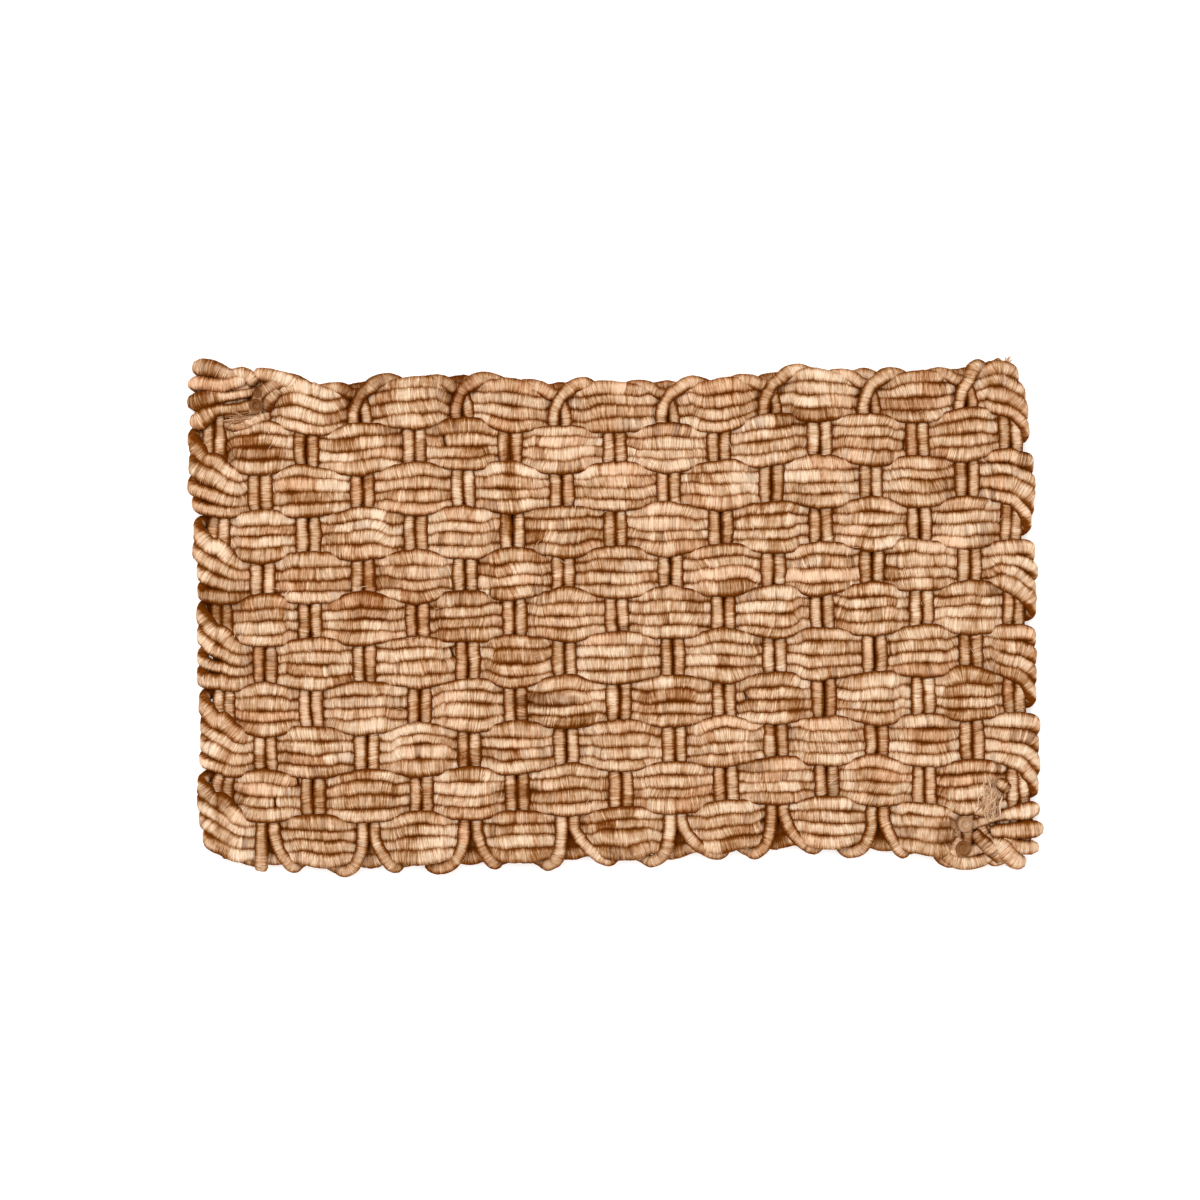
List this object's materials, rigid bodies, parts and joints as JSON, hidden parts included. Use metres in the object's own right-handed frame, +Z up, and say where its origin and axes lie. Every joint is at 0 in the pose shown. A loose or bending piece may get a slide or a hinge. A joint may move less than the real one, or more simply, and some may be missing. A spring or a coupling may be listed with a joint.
{
  "type": "door mat",
  "caption": "Chunky hand-woven door mat of fibre-wrapped cords in an over-and-under basket weave with looped edges.",
  "frame": {"origin": "middle of the mat's outline, on the surface it lies on", "axes": "+X along the mat's length, +Y across it towards the edge whose loops cross, +Z up out of the tread face"},
  "size_m": [0.7468, 0.4453, 0.02],
  "materials": {
    "weft_cord": "matt wrapped plant fibre",
    "warp_cord": "matt wrapped plant fibre",
    "loose_fibre": "matt loose plant fibre"
  },
  "bodies": {
    "root": {"weft_strand_1_length_1": "weft_cord", "weft_strand_1_length_2": "weft_cord", "weft_strand_1_length_3": "weft_cord", "weft_strand_1_length_4": "weft_cord", "weft_strand_2_length_1": "weft_cord", "weft_strand_2_length_2": "weft_cord", "weft_strand_2_length_3": "weft_cord", "weft_strand_2_length_4": "weft_cord", "weft_strand_3_length_1": "weft_cord", "weft_strand_3_length_2": "weft_cord", "weft_strand_3_length_3": "weft_cord", "weft_strand_3_length_4": "weft_cord", "weft_strand_4_length_1": "weft_cord", "weft_strand_4_length_2": "weft_cord", "weft_strand_4_length_3": "weft_cord", "weft_strand_4_length_4": "weft_cord", "warp_cord_a_length_1": "warp_cord", "warp_cord_a_length_2": "warp_cord", "warp_cord_a_length_3": "warp_cord", "warp_cord_a_length_4": "warp_cord", "warp_cord_b_length_1": "warp_cord", "warp_cord_b_length_2": "warp_cord", "warp_cord_b_length_3": "warp_cord", "warp_cord_b_length_4": "warp_cord", "end_knot_top_left": "loose_fibre", "end_knot_bottom_right": "loose_fibre"}
  },
  "joints": []
}
